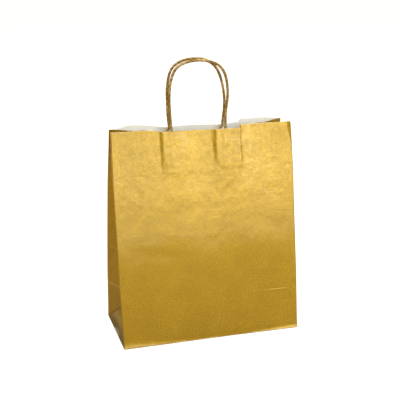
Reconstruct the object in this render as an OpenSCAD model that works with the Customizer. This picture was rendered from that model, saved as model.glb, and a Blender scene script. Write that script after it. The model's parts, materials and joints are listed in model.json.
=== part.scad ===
// Block-bottom paper gift bag with gussets folded in at the mouth and two twisted cord handles.
// Millimetres. Origin: centre of the base on the surface it stands on. +X width, +Y to the back, +Z up.

/* [Bag] */
// Width across the front panel
bag_w = 240; // [180:1:320]
// Depth of the base from front to back
bag_d = 112; // [80:1:140]
// Height of a panel along its own slope
bag_h = 280; // [220:1:360]
// Thickness of the paper
paper_t = 0.3; // [0.15:0.05:0.5]
// Distance between the outer faces of the two panels at the mouth
mouth_d = 14.8; // [14.2:0.2:24]

/* [Top edge] */
// Width of the shallow thumb notch in each panel's top edge
notch_w = 113; // [60:1:140]
// Depth of the thumb notch
notch_depth = 4; // [1:0.5:8]
// Sideways run of the notch's sloping ends
notch_run = 2; // [0.5:0.5:6]
// Sideways place of the notch's middle
notch_x = -6; // [-12:1:12]

/* [Handle patch] */
// Width of a handle patch
patch_w = 105; // [86:1:130]
// Sideways place of the patch's middle
patch_x = -2; // [-12:1:12]
// Height of a handle patch
patch_h = 43; // [30:1:60]
// Distance from a panel's top edge to the top of its patch
patch_drop = 16; // [12:1:30]
// Sideways distance between a cord's two ends where they leave the bag
leg_pitch = 72; // [56:1:80]
// Sideways place of the middle between a cord's two ends
handle_x = -5; // [-12:1:12]
// Width of the raised channel over each cord end, at its foot
channel_w = 10; // [8:0.5:14]

/* [Handles] */
// Diameter of the twisted cord
cord_d = 3.8; // [3:0.1:4.2]
// Height of the bend line above the floor of the notch
bend_rise = 3.5; // [3:0.5:6]
// Gap under the bend, between the glued cord end and the loop
bend_gap = 1.7; // [1.5:0.1:2.5]

/* [Base] */
// Overlap of the two long base flaps
flap_lap = 24; // [10:1:40]
// Reach of each side tuck towards the middle
tuck_reach = 52; // [30:1:56]
// Width of the glued side seam
seam_w = 15; // [10:1:25]

/* [Clearances] */
// Gap on each side of a crease between two panels that fold
crease_gap = 0.4; // [0.3:0.1:0.6]
// Distance of a gusset's fold line behind the outer face of its panel
fold_inset = 0.8; // [0.75:0.05:1.2]
// Gap between a cord end and the channel round it
cord_gap = 0.2; // [0.1:0.05:0.4]

/* [Hidden] */

half_d = bag_d / 2;
lean = asin((half_d - mouth_d / 2) / bag_h);   // each panel leans in by this angle
gusset_w = half_d - fold_inset - crease_gap;   // from fold line to centre crease
diagonal_gap = crease_gap * sqrt(2);           // the crease gap measured across a 45 degree edge
hem = 0.5;                                     // the panels start this far above their bottom crease
gusset_root = 0.1;                             // a gusset starts this far off its fold line
base_inset = 1.2;                              // the base layers stop this far inside the panels
base_x = bag_w / 2 - base_inset;               // half width and half depth of the base's layers
base_y = half_d - base_inset;
patch_top = bag_h - patch_drop;
patch_bottom = patch_top - patch_h;
patch_left = patch_x - patch_w / 2;
cord_r = cord_d / 2;
cord_depth = 2 * paper_t + cord_gap + cord_r;  // cord's middle behind the panel's outer face
bend_h = bag_h - notch_depth + bend_rise;      // bend line, measured up the panel's slope
stub_top = bend_h - cord_r - bend_gap;         // the glued cord end stops clear of the moving loop
cord_sides = 8;
gusset_steps = 12;
toe_lean = fold_angle(half_d);                 // the toe leans in as far as the gusset turns at its crease
gold = [0.80, 0.62, 0.28];
gold_side = [0.62, 0.46, 0.16];
white_paper = [0.92, 0.92, 0.90];
cord_brown = [0.45, 0.34, 0.16];

// Routes of the two cord loops, from the left bend to the right one: sideways from the handle's middle,
// outwards from the bend and up from it
FRONT_LOOP = [
    [-36, 0, 0], [-37, 0.2, 11.1], [-37.8, 0.4, 23.1], [-38.3, 0.5, 34.1], [-38.2, 0.5, 45.1],
    [-37, 0.4, 56.1], [-34.4, 0.2, 66.1], [-30, 0.1, 74.6], [-23, 0, 80.1], [-13, 0, 83.5],
    [-2, 0, 84.7], [9, 0, 83.9], [19, 0, 81.3], [27.5, 0.1, 76.5], [33.4, 0.2, 68.7],
    [36.8, 0.3, 58.5], [38.2, 0.4, 47.1], [38.2, 0.5, 36.1], [37, 0.4, 24.7], [36.1, 0.2, 12.1],
    [36, 0, 0]
];
REAR_LOOP = [
    [-36, 0, 0], [-37, 0.2, 11.1], [-37.9, 0.4, 23.1], [-38.5, 0.5, 35.1], [-38.6, 0.5, 46.1],
    [-37.6, 0.4, 57.1], [-35.4, 0.2, 67.6], [-31, 0.1, 75.9], [-23.6, 0, 81.5], [-13.6, 0, 84.9],
    [-2, 0, 85.7], [9, 0, 84.3], [18, 0, 80.3], [25.2, 0.1, 73.9], [30.2, 0.2, 65.1],
    [33.8, 0.3, 54.1], [36.2, 0.4, 42.7], [37.6, 0.5, 31.1], [37.6, 0.4, 19.1], [36.8, 0.2, 9.1],
    [36, 0, 0]
];
// Route of one glued cord end: sideways from where it leaves the bag, and up the panel's slope
end_shift = 7;
END_ROUTE = [
    [-end_shift, patch_bottom + 2], [-end_shift, patch_bottom + 15], [-end_shift, patch_bottom + 28],
    [-end_shift, patch_top - 2], [-5, patch_top + 4], [-2, patch_top + 9], [0, stub_top]
];
exit_x = [for (side = [-1, 1]) handle_x + side * leg_pitch / 2];
bend_y = half_d - bend_h * sin(lean) - cord_depth * cos(lean);   // the bend's distance from the middle
bend_z = bend_h * cos(lean) - cord_depth * sin(lean);

// Distance of a panel's fold line from the centre crease, at distance h up the panel
function fold_reach(h) = half_d - h * sin(lean) - fold_inset * cos(lean) - crease_gap;

// Angle by which a gusset turns in from square, at distance h up the panel
function fold_angle(h) = acos(min(1, fold_reach(h) / (gusset_w * cos(lean))));

// A closed tube along pts: rings of cord_sides points, each square to the route
function unit(v) = v / norm(v);
function heading(pts, i) = unit(pts[min(i + 1, len(pts) - 1)] - pts[max(i - 1, 0)]);
function ring(pts, i, across, r) =
    let (t = heading(pts, i), a = unit(across - (across * t) * t), b = cross(t, a))
    [for (k = [0:cord_sides - 1]) let (turn = 360 * k / cord_sides)
        pts[i] + r * (cos(turn) * a + sin(turn) * b)];

module tube(pts, across, r) {
    n = len(pts);
    c = cord_sides;
    points = [for (i = [0:n - 1]) each ring(pts, i, across, r)];
    sides = [for (i = [0:n - 2]) for (k = [0:c - 1])
        each [[i * c + k, (i + 1) * c + k, i * c + (k + 1) % c],
              [i * c + (k + 1) % c, (i + 1) * c + k, (i + 1) * c + (k + 1) % c]]];
    first_cap = [[for (k = [0:c - 1]) k]];
    last_cap = [[for (k = [c - 1:-1:0]) (n - 1) * c + k]];
    polyhedron(points, concat(sides, first_cap, last_cap));
}

// Stands a flat drawing up as the front panel: x across, y up the slope, z the depth behind the outer face
module on_front() {
    translate([0, -half_d, 0]) rotate([90 - lean, 0, 0]) mirror([0, 0, 1]) children();
}

module on_rear() {
    mirror([0, 1, 0]) on_front() children();
}

// Moves a gusset drawing to the left front fold line: x inwards, y to the centre crease, z up the fold
module at_left_front_fold() {
    translate([-bag_w / 2, -half_d, 0]) rotate([-lean, 0, 0]) translate([0, fold_inset, 0]) children();
}

module panel_sheet() {
    notch_floor = bag_h - notch_depth;
    left = notch_x - notch_w / 2;
    right = notch_x + notch_w / 2;
    linear_extrude(paper_t) polygon([
        [-bag_w / 2, hem], [bag_w / 2, hem], [bag_w / 2, bag_h],
        [right, bag_h], [right - notch_run, notch_floor],
        [left + notch_run, notch_floor], [left, bag_h], [-bag_w / 2, bag_h]
    ]);
}

module front_panel() {
    color(gold) on_front() panel_sheet();
}

module rear_panel() {
    color(gold) on_rear() panel_sheet();
}

// Glued lap inside the rear panel, just clear of the left gusset's fold
module side_seam_lap() {
    clear_of_fold = 8;
    above_base = 3;
    color(white_paper) on_rear()
        translate([-bag_w / 2 + clear_of_fold, above_base, paper_t])
            cube([seam_w, bag_h - 2 * above_base, paper_t]);
}

// Upper gusset half: a sheet that turns in more and more towards the mouth
module gusset_sheet() {
    start = half_d + crease_gap;
    step = (bag_h - start) / gusset_steps;
    corners = [for (i = [0:gusset_steps])
        let (h = start + i * step, a = fold_angle(h), up = [0, 0, h])
        let (near = up + gusset_root * [sin(a), cos(a), 0], far = up + gusset_w * [sin(a), cos(a), 0])
        let (thick = paper_t * [cos(a), -sin(a), 0])
        each [near, far, far + thick, near + thick]];
    sides = [for (i = [0:gusset_steps - 1]) for (k = [0:3])
        each [[4 * i + k, 4 * (i + 1) + k, 4 * i + (k + 1) % 4],
              [4 * i + (k + 1) % 4, 4 * (i + 1) + k, 4 * (i + 1) + (k + 1) % 4]]];
    last = 4 * gusset_steps;
    polyhedron(corners, concat(sides, [[0, 1, 2, 3]], [[last + 3, last + 2, last + 1, last]]));
}

// Lower gusset corner: the flat triangle between the fold line, the level crease and the diagonal
module gusset_foot_sheet() {
    top = half_d - crease_gap;
    clear = fold_inset + diagonal_gap;
    rotate([0, 0, -toe_lean]) rotate([90, 0, 90]) linear_extrude(paper_t)
        polygon([[gusset_root, gusset_root + clear], [top - clear, top], [gusset_root, top]]);
}

module left_front_gusset() {
    color(gold_side) at_left_front_fold() gusset_sheet();
}

module left_rear_gusset() {
    color(gold_side) mirror([0, 1, 0]) at_left_front_fold() gusset_sheet();
}

module right_front_gusset() {
    color(gold_side) mirror([1, 0, 0]) at_left_front_fold() gusset_sheet();
}

module right_rear_gusset() {
    color(gold_side) mirror([1, 0, 0]) mirror([0, 1, 0]) at_left_front_fold() gusset_sheet();
}

module left_front_gusset_foot() {
    color(gold_side) at_left_front_fold() gusset_foot_sheet();
}

module left_rear_gusset_foot() {
    color(gold_side) mirror([0, 1, 0]) at_left_front_fold() gusset_foot_sheet();
}

module right_front_gusset_foot() {
    color(gold_side) mirror([1, 0, 0]) at_left_front_fold() gusset_foot_sheet();
}

module right_rear_gusset_foot() {
    color(gold_side) mirror([1, 0, 0]) mirror([0, 1, 0]) at_left_front_fold() gusset_foot_sheet();
}

// Triangle at the foot of a gusset, hinged on the base's side crease and leaning in
module toe_sheet() {
    reach = half_d - diagonal_gap;
    translate([-bag_w / 2, 0, 0]) rotate([0, toe_lean, 0]) rotate([90, 0, 90])
        linear_extrude(paper_t) polygon([[-reach + hem, hem], [reach - hem, hem], [0, reach]]);
}

module left_gusset_toe() {
    color(gold_side) toe_sheet();
}

module right_gusset_toe() {
    color(gold_side) mirror([1, 0, 0]) toe_sheet();
}

module base_front_flap() {
    corner = tuck_reach / 2;
    color(gold) linear_extrude(paper_t) polygon([
        [-base_x, -base_y], [base_x, -base_y],
        [base_x - corner, flap_lap / 2], [corner - base_x, flap_lap / 2]
    ]);
}

// The rear flap lies on the surface behind the front flap's edge and steps up to lie over it
module base_rear_flap() {
    step = 1;
    color(gold) translate([-base_x, 0, 0]) rotate([90, 0, 90]) linear_extrude(2 * base_x) polygon([
        [base_y, 0], [flap_lap / 2 + step, 0], [flap_lap / 2 + crease_gap / 2, paper_t],
        [-flap_lap / 2, paper_t], [-flap_lap / 2, 2 * paper_t],
        [flap_lap / 2 + crease_gap / 2, 2 * paper_t], [flap_lap / 2 + step, paper_t], [base_y, paper_t]
    ]);
}

module tuck_sheet() {
    corner = tuck_reach / 2;
    translate([0, 0, 2 * paper_t]) linear_extrude(paper_t) polygon([
        [-base_x, -base_y], [tuck_reach - base_x, -base_y + corner],
        [tuck_reach - base_x, base_y - corner], [-base_x, base_y]
    ]);
}

module base_left_tuck() {
    color(white_paper) tuck_sheet();
}

module base_right_tuck() {
    color(white_paper) mirror([1, 0, 0]) tuck_sheet();
}

module patch_backing_sheet() {
    translate([patch_left, patch_bottom, paper_t]) cube([patch_w, patch_h, paper_t]);
}

// Cross-section of the cover strip: flat, with a raised channel over each cord end
module cover_profile() {
    low = 2 * paper_t;
    high = low + cord_d + 2 * cord_gap;
    foot = channel_w / 2;
    crown = cord_r + cord_gap + paper_t;
    right = patch_left + patch_w;
    legs = [for (x = exit_x) x - end_shift];
    under = [for (x = legs) each [[x - foot, low], [x - crown, high], [x + crown, high], [x + foot, low]]];
    outer = foot + paper_t;
    over = [for (x = [legs[1], legs[0]]) each [
        [x + outer, low + paper_t], [x + crown, high + paper_t], [x - crown, high + paper_t],
        [x - outer, low + paper_t]
    ]];
    ends = [[right, low], [right, low + paper_t]];
    polygon(concat([[patch_left, low]], under, ends, over, [[patch_left, low + paper_t]]));
}

module patch_cover_sheet() {
    translate([0, patch_bottom, 0]) rotate([90, 0, 0]) mirror([0, 0, 1])
        linear_extrude(patch_h) cover_profile();
}

module front_patch_backing() {
    color(white_paper) on_front() patch_backing_sheet();
}

module front_patch_cover() {
    color(white_paper) on_front() patch_cover_sheet();
}

module rear_patch_backing() {
    color(white_paper) on_rear() patch_backing_sheet();
}

module rear_patch_cover() {
    color(white_paper) on_rear() patch_cover_sheet();
}

// The two glued ends of one cord, in their channels and up to the bend
module cord_ends() {
    for (x = exit_x) tube([for (p = END_ROUTE) [x + p[0], p[1], cord_depth]], [0, 0, 1], cord_r);
}

module front_handle_ends() {
    color(cord_brown) on_front() cord_ends();
}

module rear_handle_ends() {
    color(cord_brown) on_rear() cord_ends();
}

// A cord's loop above the bend; end is -1 for the front one and 1 for the rear one
module cord_loop(route, end) {
    drawn_pitch = 72;
    spread = leg_pitch / drawn_pitch;
    translate([handle_x, end * bend_y, bend_z])
        tube([for (p = route) [p[0] * spread, end * p[1], p[2]]], [0, 1, 0], cord_r);
}

module front_handle() {
    color(cord_brown) cord_loop(FRONT_LOOP, -1);
}

module rear_handle() {
    color(cord_brown) cord_loop(REAR_LOOP, 1);
}

front_panel();
rear_panel();
side_seam_lap();
left_front_gusset();
left_rear_gusset();
right_front_gusset();
right_rear_gusset();
left_front_gusset_foot();
left_rear_gusset_foot();
right_front_gusset_foot();
right_rear_gusset_foot();
left_gusset_toe();
right_gusset_toe();
base_front_flap();
base_rear_flap();
base_left_tuck();
base_right_tuck();
front_patch_backing();
front_patch_cover();
rear_patch_backing();
rear_patch_cover();
front_handle_ends();
rear_handle_ends();
front_handle();
rear_handle();
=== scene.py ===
"""Gold paper gift bag with twisted cord handles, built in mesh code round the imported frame.

Drawing functions work in millimetres in the frame's own axes: +X across, +Y to the back, +Z up.
Meshes are written in metres. "end" is -1 for the front wall and 1 for the rear wall,
"side" is -1 for the left and 1 for the right.
"""

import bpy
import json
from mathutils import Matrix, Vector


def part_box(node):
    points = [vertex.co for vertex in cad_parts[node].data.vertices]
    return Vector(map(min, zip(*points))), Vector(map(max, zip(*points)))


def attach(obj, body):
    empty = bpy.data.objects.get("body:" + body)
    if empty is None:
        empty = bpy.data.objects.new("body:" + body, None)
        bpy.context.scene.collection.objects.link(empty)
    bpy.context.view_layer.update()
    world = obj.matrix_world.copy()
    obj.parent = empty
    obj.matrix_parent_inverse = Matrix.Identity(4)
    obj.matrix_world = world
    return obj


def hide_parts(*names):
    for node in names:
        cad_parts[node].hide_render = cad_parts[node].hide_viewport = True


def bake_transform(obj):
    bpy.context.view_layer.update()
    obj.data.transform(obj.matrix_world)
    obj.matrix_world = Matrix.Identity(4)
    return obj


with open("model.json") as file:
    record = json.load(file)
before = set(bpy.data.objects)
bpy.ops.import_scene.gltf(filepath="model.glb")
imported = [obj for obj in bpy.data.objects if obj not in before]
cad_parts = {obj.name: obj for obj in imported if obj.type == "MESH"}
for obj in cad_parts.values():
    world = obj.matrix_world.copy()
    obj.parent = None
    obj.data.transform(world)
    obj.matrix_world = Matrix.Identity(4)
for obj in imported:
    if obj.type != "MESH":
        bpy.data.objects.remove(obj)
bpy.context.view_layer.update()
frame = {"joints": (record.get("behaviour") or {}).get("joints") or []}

import json
import math

import bmesh
import bpy
import numpy as np
from mathutils import Vector, noise

# ---------------------------------------------------------------- sizes

MM = 0.001
JOINTS = {joint["name"]: joint for joint in frame["joints"]}
LEAN = math.radians(JOINTS["front_wall_open"]["range_deg"][1])
HALF_D = -JOINTS["front_wall_open"]["pos_m"][1] / MM
HALF_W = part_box("front_panel")[1].x / MM
BAG_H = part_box("front_panel")[1].z / MM / math.cos(LEAN)

PAPER = 0.3
FOLD_INSET = 0.8                    # a gusset's fold line lies this far behind the panel's outer face
GUSSET_W = HALF_D - FOLD_INSET
LEVEL_H = HALF_D                    # height of the level crease
NOTCH_W = 113
NOTCH_DEPTH = 4
NOTCH_X = {-1: -6, 1: 1}            # middle of the notch in the front wall and in the rear wall
PATCH_TOP = 264
PATCH_BOTTOM = 221
PATCH_X = (-54.5, 50.5)
SEAM_X = (8, 23)                    # the side seam's lap, from the left fold
BASE_LAP = 12                       # how far each long base flap reaches past the middle
TUCK_REACH = 52
GLUE = 0.03
CORD_D = 3.8
CORD_LAY = 13.0                     # length of one full twist
CORD_DEPTH = 2.7                    # a glued cord's middle lies this far behind the wall's outer face
HANDLE_X = -5
LEG_SHIFT = -7                      # a cord's glued leg lies this far to the left of where it leaves the bag
EXIT_X = (HANDLE_X - 36, HANDLE_X + 36)
BEND_Y = 4.8
BEND_Z = 274.8

# Routes of the two loops: sideways from the handle's middle, outwards from the bend and up from it
LOOP_ROUTE = {
    -1: [
        [-36, 0, 0], [-37, 0.2, 11.1], [-37.8, 0.4, 23.1], [-38.3, 0.5, 34.1], [-38.2, 0.5, 45.1],
        [-37, 0.4, 56.1], [-34.4, 0.2, 66.1], [-30, 0.1, 74.6], [-23, 0, 80.1], [-13, 0, 83.5],
        [-2, 0, 84.7], [9, 0, 83.9], [19, 0, 81.3], [27.5, 0.1, 76.5], [33.4, 0.2, 68.7],
        [36.8, 0.3, 58.5], [38.2, 0.4, 47.1], [38.2, 0.5, 36.1], [37, 0.4, 24.7], [36.1, 0.2, 12.1],
        [36, 0, 0],
    ],
    1: [
        [-36, 0, 0], [-37, 0.2, 11.1], [-37.9, 0.4, 23.1], [-38.5, 0.5, 35.1], [-38.6, 0.5, 46.1],
        [-37.6, 0.4, 57.1], [-35.4, 0.2, 67.6], [-31, 0.1, 75.9], [-23.6, 0, 81.5], [-13.6, 0, 84.9],
        [-2, 0, 85.7], [9, 0, 84.3], [18, 0, 80.3], [25.2, 0.1, 73.9], [30.2, 0.2, 65.1],
        [33.8, 0.3, 54.1], [36.2, 0.4, 42.7], [37.6, 0.5, 31.1], [37.6, 0.4, 19.1], [36.8, 0.2, 9.1],
        [36, 0, 0],
    ],
}
# Route of a glued end: sideways from where the cord leaves the bag, and up the slope
LEG_ROUTE = [[-7, 223], [-7, 236], [-7, 249], [-7, 262], [-5, 268], [-2, 273], [0, 275.9]]

# Where the slack mouth carries each side fold, by wall and side: sideways, and outwards
MOUTH_SLACK = {(-1, -1): (0.5, -3), (-1, 1): (1.4, -2.2), (1, -1): (1.3, 3), (1, 1): (-6.6, 5.5)}
# How the mouth bows: how far the whole wall stands out, then humps as middle, width and height
MOUTH_BOW = {
    -1: (0, [(-62, 30, -1.0), (-10, 30, -3.4), (70, 34, -3.4)]),
    1: (7, [(-88, 22, 4), (-12, 30, 2), (60, 20, 3), (92, 16, 2)]),
}
CORD_PIN = {-1: 0.6, 1: 0.3}        # share of the bow that the glued cords hold back
# Soft dents in the walls: x, height, half length, angle from level in degrees, half width, depth
DENTS = [
    (66, 206, 26, -38, 5, 0.22), (92, 188, 22, -52, 6, 0.2), (30, 196, 24, 24, 6, 0.16),
    (-86, 214, 22, 48, 6, 0.22), (-30, 172, 34, 12, 8, 0.18), (74, 150, 30, -20, 9, 0.18),
    (98, 232, 16, 74, 4, 0.25), (-100, 166, 26, 68, 6, 0.2), (6, 232, 20, -14, 5, 0.15),
    (-64, 118, 34, -10, 9, 0.12), (40, 96, 36, 8, 10, 0.1), (90, 249, 24, 88, 3, 0.3),
]
EMBOSSED_X = (-51.4, 18.8)          # the two cords press their shape through each wall
# Slanting handling creases across each gusset half: height at the fold, drop per mm along, ridge
GUSSET_CREASES = [(207, 0.55, 1.2), (114, 0.12, 1.0)]

END_NAME = {-1: "front", 1: "rear"}
SIDE_NAME = {-1: "left", 1: "right"}


# ---------------------------------------------------------------- small maths

def smooth(t):
    """Eases from 0 to 1 as t does, and stays there outside."""
    t = np.clip(t, 0, 1)
    return t * t * (3 - 2 * t)


def hump(value, middle, width):
    """A bell shape: 1 where the value is at the middle, dying away over the width."""
    return np.exp(-(((value - middle) / width) ** 2))


def unit(vectors):
    """The same directions with a length of 1."""
    length = np.linalg.norm(vectors, axis=-1, keepdims=True)
    return vectors / np.maximum(length, 1e-12)


def clouds(x, h, scale, seed):
    """Soft noise over a sheet, about -1 to 1, with features of roughly "scale" millimetres."""
    shape = np.broadcast(x, h).shape
    across = np.broadcast_to(x, shape).ravel() / scale
    up = np.broadcast_to(h, shape).ravel() / scale
    made = [noise.fractal(Vector((a, b, seed * 7.3)), 0.9, 2.1, 3) for a, b in zip(across, up)]
    return np.array(made).reshape(shape)


def stations(low, high, step, fine=()):
    """Grid lines from low to high, with closer ones round each (middle, reach, step) in fine."""
    made = [np.linspace(low, high, int(round((high - low) / step)) + 1)]
    for middle, reach, close in fine:
        made.append(np.arange(middle - reach, middle + reach + close / 2, close))
    lines = np.unique(np.round(np.concatenate(made), 2))
    lines = lines[(lines >= low) & (lines <= high)]
    closest = 0.3
    kept = [lines[0]]
    for line in lines[1:-1]:
        if line - kept[-1] > closest and high - line > closest:
            kept.append(line)
    return np.array(kept + [lines[-1]])


# ---------------------------------------------------------------- the bag's surfaces

def on_wall(end, x, h, depth):
    """Points of a wall: x across, h up its slope, depth behind its outer face."""
    y = end * (HALF_D - h * math.sin(LEAN) - depth * math.cos(LEAN))
    z = h * math.cos(LEAN) - depth * math.sin(LEAN)
    return np.stack(np.broadcast_arrays(x, y, z), axis=-1).astype(float)


def inward(end):
    """Direction straight into the bag through a wall."""
    return np.array([0, -end * math.cos(LEAN), -math.sin(LEAN)])


def fold_angle(h):
    """Angle by which a gusset turns in from square, at height h up the wall."""
    reach = HALF_D - h * math.sin(LEAN) - FOLD_INSET * math.cos(LEAN)
    return np.arccos(np.clip(reach / (GUSSET_W * math.cos(LEAN)), -1, 1))


def notch(end, x):
    """How far the top edge drops at x. The cut starts gently on the left and stops short on the right."""
    start = smooth((x - NOTCH_X[end] + NOTCH_W / 2 + 14) / 30)
    stop = smooth((NOTCH_X[end] + NOTCH_W / 2 - x) / 1.6)
    slant = 0.8 + 0.2 * smooth((x + 30) / 60)
    return NOTCH_DEPTH * start * stop * slant


def slack(h):
    """Share of the mouth's slackness at height h: none low down, all of it at the top."""
    return smooth((h - 110) / 170) ** 1.5


def fold_shift(end, side, h):
    """How far a side fold stands from its drawn line: sideways, and outwards."""
    sideways, outwards = MOUTH_SLACK[end, side]
    swell = 1.2 * smooth(h / 90) * smooth((BAG_H - h) / 80)
    return sideways * slack(h) + side * swell, outwards * slack(h)


def near_fold(side, x):
    """Weight that is 1 at a side fold and dies away towards the middle of the wall."""
    return smooth((side * x - 56) / (HALF_W - 56))


def spread(end, x, h):
    """Where the paper at x ends up sideways once the folds have moved."""
    return x + near_fold(-1, x) * fold_shift(end, -1, h)[0] + near_fold(1, x) * fold_shift(end, 1, h)[0]


def bow(end, x, h):
    """How far a wall stands out from flat: the slack mouth, held at the cords, and a soft belly."""
    shape, humps = MOUTH_BOW[end]
    for middle, width, height in humps:
        shape = shape + height * hump(x, middle, width)
    pinned = 1
    for exit_x in EXIT_X:
        pinned = pinned - CORD_PIN[end] * hump(x, exit_x - 3, 13)
    free = smooth((HALF_W - np.abs(x)) / 30)
    folds = near_fold(-1, x) * fold_shift(end, -1, h)[1] + near_fold(1, x) * fold_shift(end, 1, h)[1]
    belly = 1.6 * np.sin(np.pi * np.clip(h / BAG_H, 0, 1)) * smooth((HALF_W - np.abs(x)) / 70)
    return shape * pinned * free * slack(h) + folds + belly


def dents(end, x, h):
    """The soft dents, laid out the same way on both walls as each is seen from outside."""
    total = 0
    for x0, h0, half, angle, width, deep in DENTS:
        turn = math.radians(angle)
        right, up = -end * x - x0, h - h0
        along = right * math.cos(turn) + up * math.sin(turn)
        across = up * math.cos(turn) - right * math.sin(turn)
        total = total - deep * hump(along, 0, half) * hump(across, 0, width)
    return total


def emboss(end, x, h):
    """The patch and the two cord ends, showing through the paper."""
    left, right = PATCH_X
    made = 0.17 * smooth((x - left + 3) / 3) * smooth((right + 2.2 - x) / 3)
    made = made * smooth((h - PATCH_BOTTOM + 5) / 11)
    for middle in EMBOSSED_X:
        crown = 0.56 * hump(x, middle, 3.9) + 0.42 * hump(x, middle + 8.8, 2.9)
        valley = 0.16 * hump(x, middle - 7, 2.8)
        made = made + (crown - valley) * smooth((h - PATCH_BOTTOM + 3) / 26)
    return made


def creases(x, h):
    """The faint level crease, plainer at the right, and the paper's flare over the fold at the base."""
    patchy = 0.12 + 0.9 * smooth((x - 62) / 14) * smooth((108 - x) / 6)
    level = 0.09 * patchy * hump(h, LEVEL_H, 1.1) - 0.04 * patchy * hump(h, LEVEL_H + 2.4, 1.2)
    tall = 1.6 + 8.4 * smooth((-x + 4) / 124) + 4.2 * smooth((x - 26) / 94)
    flare = (0.08 + 0.07 * smooth((x - 20) / 90)) * tall * np.clip(1 - h / tall, 0, 1) ** 2
    under = 0.5 * np.exp(-h / 0.35)
    return level + flare - under


def corner_strip(end, x, h):
    """At the mouth the front wall's right edge is bent back in a narrow strip that runs out downwards."""
    width = 6.8 * smooth((h - 238) / 42) if end < 0 else 0.0
    ridge = HALF_W - width
    height = 0.2 * width
    outside = np.clip((HALF_W - x) / np.maximum(width, 1e-6), 0, 1)
    inside = hump(x, ridge, 24)
    return height * np.where(x > ridge, outside, inside)


def relief(end, x, h):
    """Everything that moves a wall's outer face out from flat, in millimetres."""
    fade = smooth((HALF_W - np.abs(x)) / 12) * smooth(h / 20)
    cockle = 0.24 * clouds(x, h, 34, 3 + end) + 0.11 * clouds(x, h, 9, 11 + end)
    upper = 0.35 + 1.0 * smooth((h - 110) / 110)
    made = bow(end, x, h) + (dents(end, x, h) + cockle * upper) * fade
    made = made + emboss(end, x, h) + creases(x, h)
    curl = 0.8 * smooth((h - 232) / 60) * smooth((x - 66) / 54) if end < 0 else 0
    return made + corner_strip(end, x, h) - curl


def wall_face(end, x, h, depth=0.0):
    """Points of a wall as it really lies, depth behind its outer face."""
    return on_wall(end, spread(end, x, h), h, depth - relief(end, x, h))


def fold_line(end, side, h):
    """The gusset's fold at height h."""
    sideways, outwards = fold_shift(end, side, h)
    return on_wall(end, side * HALF_W + sideways, h, FOLD_INSET - outwards)


# ---------------------------------------------------------------- meshes

def make_object(name, points, faces, mats, face_mats=None, flat=None):
    """A mesh piece. face_mats says which material each face has, and flat which faces aren't rounded off."""
    mesh = bpy.data.meshes.new(name)
    mesh.from_pydata((np.asarray(points) * MM).tolist(), [], faces)
    for mat in mats:
        mesh.materials.append(mat)
    if face_mats is not None:
        mesh.polygons.foreach_set("material_index", np.asarray(face_mats, np.int32))
    rounded = np.ones(len(mesh.polygons), bool) if flat is None else ~np.asarray(flat, bool)
    mesh.polygons.foreach_set("use_smooth", rounded)
    made = bpy.data.objects.new(name, mesh)
    bpy.context.scene.collection.objects.link(made)
    return made


def set_mask(obj, name, values):
    """Stores one value for each point, for the materials to read."""
    layer = obj.data.attributes.new(name, "FLOAT", "POINT")
    layer.data.foreach_set("value", np.asarray(values, np.float32).ravel())


def grid_faces(rows, cols, offset, turned):
    """Four-cornered faces over a grid of points."""
    made = []
    for i in range(rows - 1):
        for j in range(cols - 1):
            a = offset + i * cols + j
            quad = (a, a + 1, a + cols + 1, a + cols)
            made.append(quad[::-1] if turned else quad)
    return made


def handled(h):
    """How crumpled from handling the paper is: most near the mouth."""
    return 0.15 + 0.85 * smooth((h - 110) / 100)


def paper_sheet(name, face, outward, mats, wear, crumpled=0.0):
    """A closed sheet of paper. face is a grid of points on its outer side, and outward points roughly
    out of it. mats are for the outer side, the inner side and the cut edge."""
    rows, cols = face.shape[:2]
    across = np.gradient(face, axis=1)
    up = np.gradient(face, axis=0)
    normal = np.cross(across, up)
    size = np.linalg.norm(normal, axis=-1, keepdims=True)
    outward = np.broadcast_to(np.asarray(outward, float), face.shape)
    normal = np.where(size > 1e-9, normal / np.maximum(size, 1e-12), outward)
    turned = float(np.median(np.sum(normal * outward, axis=-1))) < 0
    normal = np.where(np.sum(normal * outward, axis=-1, keepdims=True) < 0, -normal, normal)
    back = face - PAPER * normal
    count = rows * cols
    faces = grid_faces(rows, cols, 0, turned) + grid_faces(rows, cols, count, not turned)
    kinds = [0] * ((rows - 1) * (cols - 1)) + [1] * ((rows - 1) * (cols - 1))
    around = list(range(cols))
    around += [i * cols + cols - 1 for i in range(1, rows)]
    around += [(rows - 1) * cols + j for j in range(cols - 2, -1, -1)]
    around += [i * cols for i in range(rows - 2, 0, -1)]
    for k, a in enumerate(around):
        b = around[(k + 1) % len(around)]
        rim = (a, a + count, b + count, b)
        faces.append(rim[::-1] if turned else rim)
        kinds.append(2)
    points = np.concatenate([face.reshape(-1, 3), back.reshape(-1, 3)])
    made = make_object(name, points, faces, mats, kinds, [kind == 2 for kind in kinds])
    worn = np.broadcast_to(wear, (rows, cols))
    set_mask(made, "wear", np.concatenate([worn.ravel(), 0.4 * worn.ravel()]))
    rough = np.broadcast_to(crumpled, (rows, cols)).ravel()
    set_mask(made, "crumple", np.concatenate([rough, rough]))
    clean(made)
    return made


def clean(obj):
    """Joins points that fall together, as at a triangle's tip, and drops faces with no area."""
    work = bmesh.new()
    work.from_mesh(obj.data)
    bmesh.ops.remove_doubles(work, verts=work.verts, dist=0.00002)
    bmesh.ops.dissolve_degenerate(work, edges=work.edges, dist=0.00001)
    work.to_mesh(obj.data)
    work.free()


def finish_piece(obj, body, node):
    """Puts a piece on its body and hides the drawn node it stands for."""
    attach(obj, body)
    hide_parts(node)
    return obj


# ---------------------------------------------------------------- materials

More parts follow.
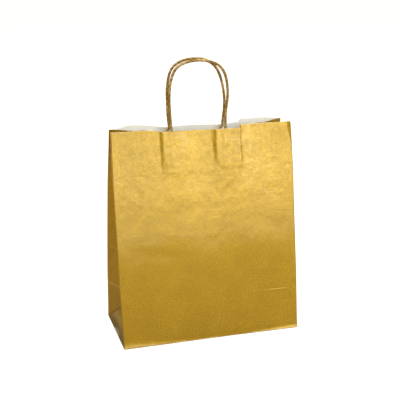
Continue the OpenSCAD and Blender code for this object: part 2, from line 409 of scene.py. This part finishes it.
class Nodes:
    """Short calls for laying out a node tree."""

    def __init__(self, tree):
        self.tree = tree

    def add(self, kind, **values):
        node = self.tree.nodes.new(kind)
        for key, value in values.items():
            setattr(node, key, value)
        return node

    def link(self, source, target):
        self.tree.links.new(source, target)

    def feed(self, socket, value):
        """Links another node's output to the socket, or sets the socket to a plain value."""
        if hasattr(value, "default_value"):
            self.link(value, socket)
        else:
            socket.default_value = value

    def number(self, operation, a, b):
        node = self.add("ShaderNodeMath", operation=operation)
        self.feed(node.inputs[0], a)
        self.feed(node.inputs[1], b)
        return node.outputs[0]

    def span(self, value, low, high, to_low=0.0, to_high=1.0):
        node = self.add("ShaderNodeMapRange", interpolation_type="SMOOTHSTEP")
        self.link(value, node.inputs["Value"])
        for socket, number in zip(list(node.inputs)[1:5], (low, high, to_low, to_high)):
            socket.default_value = number
        return node.outputs["Result"]

    def mix(self, share, a, b):
        node = self.add("ShaderNodeMix", data_type="RGBA")
        self.feed(node.inputs[0], share)
        self.feed(node.inputs[6], a)
        self.feed(node.inputs[7], b)
        return node.outputs[2]

    def noise(self, vector, scale, detail=3.0, rough=0.55, warp=0.0):
        node = self.add("ShaderNodeTexNoise")
        self.link(vector, node.inputs["Vector"])
        node.inputs["Scale"].default_value = scale
        node.inputs["Detail"].default_value = detail
        node.inputs["Roughness"].default_value = rough
        node.inputs["Distortion"].default_value = warp
        return node.outputs["Fac"]


def new_group(name, inputs, outputs):
    """An empty shader group. inputs and outputs are (name, socket type, default) rows."""
    tree = bpy.data.node_groups.new(name, "ShaderNodeTree")
    for label, kind, value in inputs:
        socket = tree.interface.new_socket(label, in_out="INPUT", socket_type=kind)
        if value is not None:
            socket.default_value = value
    for label, kind in outputs:
        tree.interface.new_socket(label, in_out="OUTPUT", socket_type=kind)
    n = Nodes(tree)
    return n, n.add("NodeGroupInput").outputs, n.add("NodeGroupOutput").inputs


def paper_tooth_group():
    """Fibre and handling of paper: Height for a bump, Cloud for slow colour changes, Fleck for fine
    ones, Mottle for what handling does to the colour, and Grain for the gloss of single fibres."""
    n, given, out = new_group(
        "paper_tooth",
        [("Vector", "NodeSocketVector", None), ("Fine", "NodeSocketFloat", 1.0),
         ("Crumple", "NodeSocketFloat", 1.0)],
        [("Height", "NodeSocketFloat"), ("Cloud", "NodeSocketFloat"), ("Fleck", "NodeSocketFloat"),
         ("Mottle", "NodeSocketFloat"), ("Grain", "NodeSocketFloat")],
    )
    fibre = n.noise(given["Vector"], 1700, 3, 0.6)
    felt = n.noise(given["Vector"], 430, 3, 0.6, 0.4)
    mottle = n.noise(given["Vector"], 215, 4, 0.62, 0.7)
    slow = n.noise(given["Vector"], 30, 3, 0.55, 0.6)
    fine = n.number("MULTIPLY", n.number("ADD", fibre, felt), given["Fine"])
    rough = n.number("MULTIPLY", n.number("MULTIPLY", mottle, 4.2), given["Crumple"])
    n.link(n.number("ADD", fine, rough), out["Height"])
    n.link(n.span(slow, 0.32, 0.68), out["Cloud"])
    n.link(n.span(felt, 0.34, 0.68), out["Fleck"])
    n.link(n.span(mottle, 0.36, 0.64), out["Mottle"])
    n.link(n.span(fibre, 0.38, 0.54), out["Grain"])
    return n.tree


def fold_wear_group():
    """Broken-up wear along folds and cut edges, from the wear mask painted on each sheet."""
    n, given, out = new_group(
        "fold_wear",
        [("Vector", "NodeSocketVector", None), ("Mask", "NodeSocketFloat", 0.0),
         ("Amount", "NodeSocketFloat", 1.0)],
        [("Wear", "NodeSocketFloat")],
    )
    grain = n.noise(given["Vector"], 640, 4, 0.65)
    patches = n.noise(given["Vector"], 60, 2, 0.5)
    broken = n.number("ADD", n.number("MULTIPLY", grain, 0.7), n.number("MULTIPLY", patches, 0.5))
    level = n.number("MULTIPLY", given["Mask"], given["Amount"])
    n.link(n.span(n.number("ADD", level, broken), 0.95, 1.45), out["Wear"])
    return n.tree


GROUPS = {}


def placed_group(n, name, vector, **values):
    """A shader group placed in a material with its own values. Gives the group's outputs."""
    node = n.add("ShaderNodeGroup")
    node.node_tree = GROUPS[name]
    n.link(vector, node.inputs["Vector"])
    for label, value in values.items():
        n.feed(node.inputs[label], value)
    return node.outputs


def new_material(name):
    """A material, its node calls and its Principled shader's inputs."""
    mat = bpy.data.materials.new(name)
    mat.use_nodes = True
    return mat, Nodes(mat.node_tree), mat.node_tree.nodes["Principled BSDF"].inputs


def add_bump(n, shader, height, distance, strength):
    """Fine relief from a height, in metres for a height of 1."""
    bump = n.add("ShaderNodeBump")
    bump.inputs["Strength"].default_value = strength
    bump.inputs["Distance"].default_value = distance
    n.link(height, bump.inputs["Height"])
    n.link(bump.outputs["Normal"], shader["Normal"])


def gold_paper():
    """Satin metallic-ink print on coated paper: mottled, worn pale along the folds and cut edges."""
    mat, n, shader = new_material("gold_paper")
    where = n.add("ShaderNodeTexCoord").outputs["Object"]
    crumple = n.add("ShaderNodeAttribute", attribute_name="crumple").outputs["Fac"]
    tooth = placed_group(n, "paper_tooth", where, Fine=0.3, Crumple=crumple)
    mask = n.add("ShaderNodeAttribute", attribute_name="wear").outputs["Fac"]
    wear = placed_group(n, "fold_wear", where, Mask=mask, Amount=0.85)["Wear"]
    deep_gold, full_gold = (0.55, 0.345, 0.010, 1), (0.61, 0.395, 0.015, 1)
    dark_fleck, rubbed_gold, bare_edge = (0.48, 0.29, 0.006, 1), (0.72, 0.47, 0.035, 1), (0.88, 0.76, 0.48, 1)
    ink = n.mix(tooth["Cloud"], deep_gold, full_gold)
    ink = n.mix(n.number("MULTIPLY", tooth["Fleck"], 0.5), ink, dark_fleck)
    rubbed = n.number("MULTIPLY", tooth["Mottle"], n.number("MULTIPLY", crumple, 0.5))
    ink = n.mix(rubbed, ink, rubbed_gold)
    ink = n.mix(n.number("MULTIPLY", wear, 0.6), ink, bare_edge)
    n.link(ink, shader["Base Color"])
    n.link(n.span(tooth["Grain"], 0, 1, 0.17, 0.5), shader["Roughness"])
    n.link(n.span(wear, 0, 1, 0.92, 0.35), shader["Metallic"])
    shader["Coat Weight"].default_value = 1.0
    shader["Coat IOR"].default_value = 1.62
    shader["Coat Roughness"].default_value = 0.15
    add_bump(n, shader, tooth["Height"], 0.0001, 0.9)
    return mat


def white_paper(name="white_paper", base=(0.88, 0.88, 0.87, 1), shade=(0.83, 0.83, 0.81, 1)):
    """Matt uncoated side of the sheet, with faint fibre."""
    mat, n, shader = new_material(name)
    where = n.add("ShaderNodeTexCoord").outputs["Object"]
    tooth = placed_group(n, "paper_tooth", where, Fine=1.0, Crumple=0.2)
    mask = n.add("ShaderNodeAttribute", attribute_name="wear").outputs["Fac"]
    grubby = (0.66, 0.65, 0.61, 1)
    colour = n.mix(n.number("MULTIPLY", tooth["Cloud"], 0.5), base, shade)
    colour = n.mix(n.number("MULTIPLY", mask, 0.3), colour, grubby)
    n.link(colour, shader["Base Color"])
    n.link(n.span(tooth["Fleck"], 0, 1, 0.78, 0.9), shader["Roughness"])
    add_bump(n, shader, tooth["Height"], 0.0001, 0.7)
    return mat


def twisted_cord():
    """Twisted paper cord: painted shade darkens it in its grooves, with fine lines winding along it."""
    mat, n, shader = new_material("twisted_cord")
    where = n.add("ShaderNodeTexCoord").outputs["Object"]
    ply = n.add("ShaderNodeAttribute", attribute_name="ply_place").outputs["Vector"]
    groove = n.add("ShaderNodeAttribute", attribute_name="groove").outputs["Fac"]
    lines = n.noise(ply, 3.2, 4, 0.7)
    patches = n.noise(where, 110, 3, 0.55)
    dark_line, kraft = (0.085, 0.042, 0.005, 1), (0.60, 0.39, 0.11, 1)
    pale_patch, groove_painted_shade = (0.86, 0.66, 0.32, 1), (0.03, 0.015, 0.003, 1)
    colour = n.mix(n.span(lines, 0.36, 0.64), dark_line, kraft)
    colour = n.mix(n.span(patches, 0.42, 0.68, 0, 0.55), colour, pale_patch)
    # painted shade: the colour runs to near black along the twist's grooves
    colour = n.mix(n.number("MULTIPLY", groove, 0.75), colour, groove_painted_shade)
    n.link(colour, shader["Base Color"])
    n.link(n.span(lines, 0.3, 0.7, 0.36, 0.55), shader["Roughness"])
    shader["Metallic"].default_value = 0.45
    add_bump(n, shader, lines, 0.0003, 0.9)
    return mat


def plain_floor():
    """White as the camera sees it, but dim and warm in what it throws back on the bag."""
    mat, n, shader = new_material("floor_paint")
    where = n.add("ShaderNodeTexCoord").outputs["Object"]
    drift = n.noise(where, 1.5, 2, 0.5)
    dim, less_dim = (0.25, 0.205, 0.13, 1), (0.27, 0.22, 0.14, 1)
    n.link(n.mix(drift, dim, less_dim), shader["Base Color"])
    shader["Roughness"].default_value = 0.9
    shader["Specular IOR Level"].default_value = 0.1
    seen = n.add("ShaderNodeLightPath").outputs["Is Camera Ray"]
    shader["Emission Color"].default_value = (1, 1, 1, 1)
    n.link(n.number("MULTIPLY", seen, 0.95), shader["Emission Strength"])
    return mat


# ---------------------------------------------------------------- pieces

def wall_panel(end, mats):
    """Front or rear panel: one sheet with its bowed mouth, notch, embossed patch and rounded folds."""
    fine_x = [(middle, 9, 0.9) for middle in EMBOSSED_X]
    fine_x += [(PATCH_X[0] - 1.4, 1.6, 0.5), (PATCH_X[1] + 0.6, 1.6, 0.5)]
    fine_x += [(NOTCH_X[end] + NOTCH_W / 2 - 0.8, 2.0, 0.4)]
    fine_x += [(HALF_W - 6, 6, 0.7), (6 - HALF_W, 6, 0.8)]
    flat_x = stations(FOLD_INSET - HALF_W, HALF_W - FOLD_INSET, 2.6, fine_x)
    turn = np.radians([18, 36, 54, 72, 90])     # the side folds are quarter rounds
    round_x = HALF_W - FOLD_INSET + FOLD_INSET * np.sin(turn)
    round_depth = FOLD_INSET * (1 - np.cos(turn))
    x = np.concatenate([-round_x[::-1], flat_x, round_x])
    depth = np.concatenate([round_depth[::-1], 0 * flat_x, round_depth])
    fine_h = [(0, 8, 0.5), (LEVEL_H, 3, 0.5), (PATCH_BOTTOM + 1.5, 2.5, 0.5), (BAG_H, 2, 0.5)]
    rows = stations(0, BAG_H, 2.6, fine_h)
    squeeze = smooth((rows - BAG_H + 22) / 22)
    h = rows[:, None] - notch(end, x)[None, :] * squeeze[:, None]
    x = np.broadcast_to(x, h.shape)
    face = wall_face(end, x, h, depth[None, :])
    top = (BAG_H - rows)[:, None]
    wear = np.maximum(1.0 * hump(top, 0, 1.5), 0.45 * hump(HALF_W - np.abs(x), 0.6, 0.9))
    wear = np.maximum(wear, 0.7 * hump(h, 1.0, 1.6))
    wear = np.maximum(wear, 0.34 * hump(h, LEVEL_H + 1, 0.9) * smooth((x * -end - 60) / 20))
    made = paper_sheet(f"{END_NAME[end]}_panel_sheet", face, -inward(end), mats, wear, handled(h))
    return finish_piece(made, f"{END_NAME[end]}_wall", f"{END_NAME[end]}_panel")


def gusset_ray(end, side, h):
    """Direction along the gusset half from its fold to the centre crease, and its outward normal."""
    turn = fold_angle(h)[..., None]
    sideways = np.array([side, 0, 0])
    along = np.cos(turn) * inward(end) - np.sin(turn) * sideways
    return along, np.sin(turn) * inward(end) + np.cos(turn) * sideways


def gusset_at(end, side, h, s):
    """Points of a gusset half, s from its fold, and its outward normal. Near the mouth it leans on the
    front wall, but the centre crease keeps its drawn place, so that the two halves of an opened bag meet."""
    ray, normal = gusset_ray(end, side, h)
    drawn = on_wall(end, side * HALF_W, h, FOLD_INSET) + s[..., None] * ray
    tip = side * (HALF_W - GUSSET_W * np.sin(fold_angle(h)))
    start = fold_line(end, side, h)
    share = s / GUSSET_W
    x = start[..., 0] + share * (tip - start[..., 0])
    front = wall_face(-1, np.clip(x, -HALF_W, HALF_W), h, PAPER)[..., 1]
    gap = 0.5 + 1.0 * smooth(share * 5)
    if end > 0:
        gap = gap + 0.9 * smooth(share * 3) + (start[..., 1] - front - gap) * (1 - smooth(share / 0.66))
    leant = start[..., 1] + (front + gap - start[..., 1]) * smooth(share * 12)
    drawn[..., 0] = x
    moved = start[..., 1:] - on_wall(end, side * HALF_W, h, FOLD_INSET)[..., 1:]
    drawn[..., 1:] += moved * (1 - share)[..., None]
    lie = smooth((h - 130) / 150) ** 1.5 * (1 - smooth((share - 0.5) / 0.5))
    drawn[..., 1] += (leant - drawn[..., 1]) * lie
    return drawn, normal


def gusset_half(end, side, mats):
    """Upper gusset half: folds in further and further towards the mouth."""
    fine = [(LEVEL_H, 3, 0.6), (BAG_H, 2, 0.5), (203, 8, 1.2), (112, 6, 1.2)]
    h = stations(LEVEL_H - 1.4, BAG_H, 4.0, fine)[:, None]
    s = stations(0, GUSSET_W, 2.2, [(0, 2, 0.4), (GUSSET_W, 2, 0.4)])[None, :]
    h, s = np.broadcast_arrays(h, s)
    face, normal = gusset_at(end, side, h, s)
    hold = smooth(s / 8) * smooth((GUSSET_W - s) / 8) * smooth((h - LEVEL_H) / 12)
    seed = 20 + 3 * end + side
    sway = 0.9 * clouds(s, h, 46, seed) + 0.25 * clouds(s, h, 13, seed + 5)
    sway = sway * (1 - 0.75 * smooth((h - 190) / 80))
    lines = 0
    for level, drop, ridge in GUSSET_CREASES:
        line = h - level - (4 * seed - 88) % 5 + drop * s
        sway = sway + ridge * hump(line, 0, 3.2) * hump(s, 8, 18)
        lines = lines + hump(line, 0, 1.0) * hump(s, 9, 14)
    lip = 0.36 * smooth((LEVEL_H + 0.2 - h) / 0.6)
    face = face + (sway * hold - lip)[..., None] * normal
    wear = np.maximum(0.7 * hump(s, 0, 0.9), 0.75 * hump(GUSSET_W - s, 0, 1.0))
    wear = np.maximum(wear, 0.8 * hump(BAG_H - h, 0, 0.9))
    wear = np.maximum(wear, 0.9 * hump(h - LEVEL_H, 0, 1.2))
    wear = np.maximum(wear, 0.95 * lines)
    name = f"{SIDE_NAME[side]}_{END_NAME[end]}_gusset"
    made = paper_sheet(name + "_sheet", face, normal, mats, wear, handled(h))
    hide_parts(name)
    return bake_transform(made)


def gusset_tip(end, side):
    """Where the level crease meets the centre crease."""
    h = np.array(LEVEL_H, float)
    return gusset_at(end, side, h, np.array(GUSSET_W, float))[0]


def gusset_foot(end, side, mats):
    """Triangle under the level crease, between the corner fold and the diagonal."""
    rows = stations(0, LEVEL_H, 2.4, [(LEVEL_H, 2, 0.5)])[:, None, None]
    across = np.linspace(0, 1, 22)[None, :, None]
    corner = fold_line(end, side, 0.0)
    edge = fold_line(end, side, rows[..., 0])
    diagonal = corner + rows / LEVEL_H * (gusset_tip(end, side) - corner)
    face = edge + across * (diagonal - edge)
    _, normal = gusset_ray(end, side, np.array(LEVEL_H, float))
    from_fold = across[..., 0] * rows[..., 0]
    from_diagonal = (1 - across[..., 0]) * rows[..., 0] * 0.7
    swell = 0.35 * smooth(from_fold / 14) * smooth(from_diagonal / 8) * smooth((LEVEL_H - rows[..., 0]) / 9)
    face = face - swell[..., None] * normal
    wear = np.maximum(0.6 * hump(from_fold, 0, 0.9), 0.7 * hump(from_diagonal, 0, 0.9))
    wear = np.maximum(wear, 0.65 * hump(LEVEL_H - rows[..., 0], 0, 0.9))
    name = f"{SIDE_NAME[side]}_{END_NAME[end]}_gusset_foot"
    made = paper_sheet(name + "_sheet", face, normal, mats, wear, 0.15)
    return finish_piece(made, f"{SIDE_NAME[side]}_{END_NAME[end]}_corner", name)


def gusset_toe(side, mats):
    """Triangle on the base's side crease, leaning in."""
    share = stations(0, 1, 0.04)[:, None, None]
    across = np.linspace(-1, 1, 45)[None, :, None]
    front, rear = fold_line(-1, side, 0.0), fold_line(1, side, 0.0)
    tip = gusset_tip(-1, side) * np.array([1, 0, 1])
    low, high = front + share * (tip - front), rear + share * (tip - rear)
    face = (low + high) / 2 + across * (high - low) / 2
    slope = unit(np.cross(rear - front, tip - front))
    normal = slope * np.sign(slope[0]) * side
    inside = (1 - np.abs(across[..., 0])) * (1 - share[..., 0]) * HALF_D
    swell = 0.5 * smooth(inside / 12) * smooth(share[..., 0] * HALF_D / 12)
    face = face - swell[..., None] * normal
    wear = np.maximum(0.4 * hump(inside, 0, 1.1), 0.4 * hump(share[..., 0] * HALF_D, 0, 1.0))
    name = f"{SIDE_NAME[side]}_gusset_toe"
    made = paper_sheet(name + "_sheet", face, normal, mats, wear)
    return finish_piece(made, f"{SIDE_NAME[side]}_toe", name)


def base_sheet(node, corners, height, mats, fall=None):
    """A flat layer of the base, outer side down. Its corners run round in order, and fall lifts the
    part that lies on another layer."""
    u = np.linspace(0, 1, 70)[None, :, None]
    v = np.linspace(0, 1, 34)[:, None, None]
    a, b, c, d = [np.array([*corner, 0.0]) for corner in corners]
    face = (1 - v) * ((1 - u) * a + u * b) + v * ((1 - u) * d + u * c)
    lift = height + (0 if fall is None else fall(face[..., 1]))
    face[..., 2] = lift + 0.025 * (1 + clouds(face[..., 0], face[..., 1], 16, 40 + height))
    inner = np.minimum(np.minimum(u, 1 - u), np.minimum(v, 1 - v))[..., 0]
    made = paper_sheet(node + "_sheet", face, (0, 0, -1), mats, 0.8 * hump(inner, 0, 0.012))
    return finish_piece(made, "base", node)


def base_layers(gold_mats, white_mats):
    """The block bottom: two long flaps folded over two side tucks."""
    x, y = HALF_W - 0.4, HALF_D - 0.2
    corner = TUCK_REACH / 2
    front_corners = [(-x, -y), (x, -y), (x - corner, BASE_LAP), (corner - x, BASE_LAP)]
    base_sheet("base_front_flap", front_corners, 0.0, gold_mats)

    def step_up(y_at):
        return (PAPER + 2 * GLUE) * smooth((BASE_LAP + 1.2 - y_at) / 1.2)

    rear_corners = [(-x, -BASE_LAP), (x, -BASE_LAP), (x, y), (-x, y)]
    base_sheet("base_rear_flap", rear_corners, 0.0, gold_mats, step_up)
    for side in (-1, 1):
        edge, inside = side * (x - 0.6), side * (x - TUCK_REACH)
        corners = [(edge, 1.2 - y), (inside, corner - y), (inside, y - corner), (edge, y - 1.2)]
        base_sheet(f"base_{SIDE_NAME[side]}_tuck", corners, 2 * PAPER + 4 * GLUE, white_mats)


def seam_lap(mats):
    """Glued side seam inside the rear wall."""
    short = 3                       # the lap stops this far from the base and from the mouth
    x = stations(SEAM_X[0] - HALF_W, SEAM_X[1] - HALF_W, 1.5)[None, :]
    h = stations(short, BAG_H - short, 4)[:, None]
    x, h = np.broadcast_arrays(x, h)
    face = wall_face(1, x, h, PAPER + GLUE + 0.03 * clouds(x, h, 9, 61))
    edge = np.minimum(x - x.min(), x.max() - x)
    made = paper_sheet("side_seam_lap_sheet", face, -inward(1), mats, 0.7 * hump(edge, 0, 0.8))
    return finish_piece(made, "rear_wall", "side_seam_lap")


def channel(x):
    """How far the cover strip stands off to leave room for the cord ends."""
    made = 0
    for exit_x in EXIT_X:
        off = np.abs(x - exit_x - LEG_SHIFT)
        made = np.maximum(made, (CORD_D + 0.4) * smooth((5.4 - off) / 3.6))
    return made


def handle_patch(end, kind, mats):
    """The backing strip glued to the wall, or the cover strip glued over the cord ends."""
    over = kind == "cover"
    fine = [(exit_x + LEG_SHIFT, 6, 0.45) for exit_x in EXIT_X] if over else []
    x = stations(PATCH_X[0], PATCH_X[1], 2.2, fine)[None, :]
    h = stations(PATCH_BOTTOM, PATCH_TOP, 2.0, [(PATCH_TOP, 1.5, 0.5), (PATCH_BOTTOM, 1.5, 0.5)])[:, None]
    x, h = np.broadcast_arrays(x, h)
    depth = PAPER + GLUE
    if over:
        pressed = 1 - 0.12 * hump(h, PATCH_TOP, 6)
        depth = depth + PAPER + channel(x) * pressed + 0.12 * (1 + clouds(x, h, 7, 70 + end))
    face = wall_face(end, x, h, depth)
    edge = np.minimum(np.minimum(x - x.min(), x.max() - x), np.minimum(h - h.min(), h.max() - h))
    name = f"{END_NAME[end]}_patch_{kind}"
    made = paper_sheet(name + "_sheet", face, -inward(end), mats, 0.7 * hump(edge, 0, 0.9))
    return finish_piece(made, f"{END_NAME[end]}_wall", name)


def flowing(points, spacing):
    """A smooth curve through the points, at even spacing, and each point's distance along it."""
    p = np.asarray(points, float)
    p = np.vstack([2 * p[0] - p[1], p, 2 * p[-1] - p[-2]])
    made = []
    for a, b, c, d in zip(p[:-3], p[1:-2], p[2:-1], p[3:]):
        t = np.linspace(0, 1, 16, endpoint=False)[:, None]
        bend = (2 * a - 5 * b + 4 * c - d) * t**2 + (3 * b - a - 3 * c + d) * t**3
        made.append(0.5 * (2 * b + (c - a) * t + bend))
    line = np.vstack([*made, p[-2]])
    length = np.concatenate([[0], np.cumsum(np.linalg.norm(np.diff(line, axis=0), axis=1))])
    marks = np.linspace(0, length[-1], int(round(length[-1] / spacing)) + 1)
    return np.stack([np.interp(marks, length, line[:, k]) for k in range(3)], axis=1), marks


def cord_line(end):
    """The whole cord: up out of one channel, over the bend, round the loop and down into the other."""
    legs = []
    for exit_x in EXIT_X:
        leg = []
        for sideways, h in LEG_ROUTE:
            x = exit_x + sideways
            follow = relief(end, np.array(float(x)), np.array(float(h))) - 0.4
            settle = 1 - 0.4 * smooth((h - 262) / 14)
            leg.append(on_wall(end, x, h, CORD_DEPTH - follow * settle))
        legs.append(leg)
    loop = []
    for x, out, up in LOOP_ROUTE[end]:
        lean_on = 0.6 * bow(end, np.array(EXIT_X[0] if x < 0 else EXIT_X[1], float), np.array(BAG_H))
        out = out + lean_on * (1 - smooth((up - 2) / 40))
        loop.append([HANDLE_X + x, end * (BEND_Y + out), BEND_Z + up + 1.5 * (up == 0)])
    return flowing(legs[0] + loop + legs[1][::-1], 0.55)


def handle_cord(end, mat):
    """Twisted paper cord as one closed mesh: round, with two grooves winding round it and fine creases."""
    line, marks = cord_line(end)
    sides = 30
    forward = unit(np.gradient(line, axis=0))
    across = np.array([0.0, 1.0, 0.0])
    across = unit(across - np.sum(forward * across, axis=1, keepdims=True) * forward)
    other = np.cross(forward, across)
    phi = np.arange(sides) / sides * 2 * np.pi
    twist = 2 * np.pi * marks / CORD_LAY + 0.5 * np.sin(marks / 23)
    local = phi[None, :] - twist[:, None]
    groove = np.exp(-((np.cos(local) / 0.30) ** 2))
    swell = 0.05 * np.sin(marks / 14 + end) + 0.04 * np.sin(marks / 5.3)
    pleats = 0.045 * np.sin(9 * local + 0.6 * np.sin(marks / 4)[:, None])
    reach = 0.89 * CORD_D / 2 - 0.36 * groove + pleats * (1 - groove) + swell[:, None]
    ring = np.cos(phi)[None, :, None] * across[:, None, :] + np.sin(phi)[None, :, None] * other[:, None, :]
    points = line[:, None, :] + reach[..., None] * ring
    count = len(line)
    faces = []
    for i in range(count - 1):
        for k in range(sides):
            a, b = i * sides + k, i * sides + (k + 1) % sides
            faces.append((a, b, b + sides, a + sides))
    caps = [tuple(range(sides))[::-1], tuple((count - 1) * sides + k for k in range(sides))]
    flat = [False] * len(faces) + [True] * 2
    made = make_object(f"{END_NAME[end]}_cord", points.reshape(-1, 3), faces + caps, [mat], None, flat)
    # the groove mask also drives the painted shade in the cord's colour
    set_mask(made, "groove", groove)
    strand = np.where(np.cos(local - np.pi / 2) > 0, 0.0, 3.0)
    place = made.data.attributes.new("ply_place", "FLOAT_VECTOR", "POINT")
    along = np.broadcast_to(marks[:, None] * 0.06, local.shape) + strand
    values = np.stack([2.2 * np.cos(local), 2.2 * np.sin(local), along], axis=-1)
    place.data.foreach_set("vector", values.astype(np.float32).ravel())
    name = END_NAME[end]
    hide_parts(f"{name}_handle", f"{name}_handle_ends")
    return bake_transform(made)


# ---------------------------------------------------------------- stage, light, camera

def soft_light(name, place, target, size, brightness, colour=(1, 1, 1)):
    """A softbox. brightness is how bright its face looks, next to white at 1."""
    data = bpy.data.lights.new(name, "AREA")
    data.shape = "RECTANGLE"
    data.size, data.size_y = size
    data.energy = brightness * math.pi * size[0] * size[1]
    data.color = colour
    light = bpy.data.objects.new(name, data)
    bpy.context.scene.collection.objects.link(light)
    light.location = place
    light.rotation_euler = (Vector(target) - Vector(place)).to_track_quat("-Z", "Y").to_euler()
    return light


def surroundings():
    """Pale studio: white behind, and a dimmer room for what the bag's satin print reflects."""
    world = bpy.data.worlds.new("studio")
    bpy.context.scene.world = world
    world.use_nodes = True
    n = Nodes(world.node_tree)
    world.node_tree.nodes.clear()
    path = n.add("ShaderNodeLightPath").outputs["Is Camera Ray"]
    split = n.add("ShaderNodeSeparateXYZ")
    n.link(n.add("ShaderNodeTexCoord").outputs["Generated"], split.inputs[0])
    front = n.span(split.outputs["Y"], -0.75, 0.95, 0.36, 0.24)
    height = n.span(split.outputs["Z"], -0.2, 0.5, 1.0, 0.85)
    left = n.span(split.outputs["X"], -0.95, -0.2, 1.3, 1.0)
    level = n.number("MULTIPLY", n.number("MULTIPLY", front, height), left)
    room = n.add("ShaderNodeBackground")
    n.link(level, room.inputs["Strength"])
    room.inputs["Color"].default_value = (1, 0.79, 0.26, 1)
    white = n.add("ShaderNodeBackground")
    white.inputs["Strength"].default_value = 1.0
    white.inputs["Color"].default_value = (1, 1, 1, 1)
    choose = n.add("ShaderNodeMixShader")
    n.link(path, choose.inputs[0])
    n.link(room.outputs[0], choose.inputs[1])
    n.link(white.outputs[0], choose.inputs[2])
    n.link(choose.outputs[0], n.add("ShaderNodeOutputWorld").inputs[0])


def stage_floor():
    """A wide floor just under the bag."""
    mesh = bpy.data.meshes.new("studio_floor")
    reach, top = 14.0, -0.0002
    corners = [(x * reach, y * reach, top) for x, y in ((-1, -1), (1, -1), (1, 1), (-1, 1))]
    mesh.from_pydata(corners, [], [(0, 1, 2, 3)])
    mesh.materials.append(plain_floor())
    floor = bpy.data.objects.new("studio_floor", mesh)
    bpy.context.scene.collection.objects.link(floor)


def studio_lights():
    """A stack of panels that the front mirrors softly from top to bottom, and softer light all round."""
    stack = [
        ("front_softbox", 1.375, 1.25, 2.02),
        ("front_middle_panel", 0.575, 0.35, 1.7),
        ("front_dim_panel", 0.31, 0.18, 0.95),
        ("front_low_panel", 0.16, 0.12, 1.6),
    ]
    for name, height, tall, brightness in stack:
        soft_light(name, (0.87, -2.5, height), (0.87, 0.0, height), (2.1, tall), brightness)
    soft_light("front_edge_light", (1.3, -2.4, 1.0), (1.3, 0.0, 1.0), (0.6, 0.6), 1.5)
    soft_light("left_reflector", (-1.6, -0.5, 0.5), (-0.1, 0.0, 0.1), (1.2, 0.9), 0.9, (1, 0.76, 0.25))
    fill = soft_light("front_fill", (0.2, -2.5, 0.9), (0.1, 0.0, 0.3), (2.4, 1.6), 1.3)
    fill.visible_glossy = False
    soft_light("rear_softbox", (0.2, 2.5, 1.3), (0.0, 0.0, 0.3), (2.4, 1.4), 0.9)
    overhead = soft_light("overhead_softbox", (0.0, -0.2, 2.4), (0.0, 0.0, 0.0), (3.2, 3.2), 3.8)
    overhead.visible_glossy = False


def camera():
    """Eye level a little above the bag, to the left of its front."""
    turn, rise, distance = math.radians(-16.4), math.radians(19.2), 1.2
    target = Vector((0, 0, 0.13855))
    back = Vector((math.sin(turn) * math.cos(rise), -math.cos(turn) * math.cos(rise), math.sin(rise)))
    data = bpy.data.cameras.new("camera")
    data.lens = 81.0
    data.sensor_width = 36
    data.shift_x = -0.0033
    data.shift_y = 0.0655
    made = bpy.data.objects.new("camera", data)
    made.location = target + distance * back
    made.rotation_euler = (-back).to_track_quat("-Z", "Y").to_euler()
    bpy.context.scene.collection.objects.link(made)
    bpy.context.scene.camera = made


# ---------------------------------------------------------------- build

GROUPS["paper_tooth"] = paper_tooth_group()
GROUPS["fold_wear"] = fold_wear_group()
GOLD = gold_paper()
WHITE = white_paper()
RAW_EDGE = white_paper("raw_paper_edge", (0.86, 0.82, 0.70, 1), (0.78, 0.73, 0.60, 1))
CORD = twisted_cord()
PRINTED = [GOLD, WHITE, RAW_EDGE]
PLAIN = [WHITE, WHITE, RAW_EDGE]

camera()
for wall in (-1, 1):
    handle_cord(wall, CORD)
for wall in (-1, 1):
    wall_panel(wall, PRINTED)
    handle_patch(wall, "backing", PLAIN)
    handle_patch(wall, "cover", PLAIN)
    for side in (-1, 1):
        gusset_half(wall, side, PRINTED)
        gusset_foot(wall, side, PRINTED)
for side in (-1, 1):
    gusset_toe(side, PRINTED)
seam_lap(PLAIN)
base_layers(PRINTED, PLAIN)

surroundings()
stage_floor()
studio_lights()
bpy.context.scene.view_settings.view_transform = "Standard"
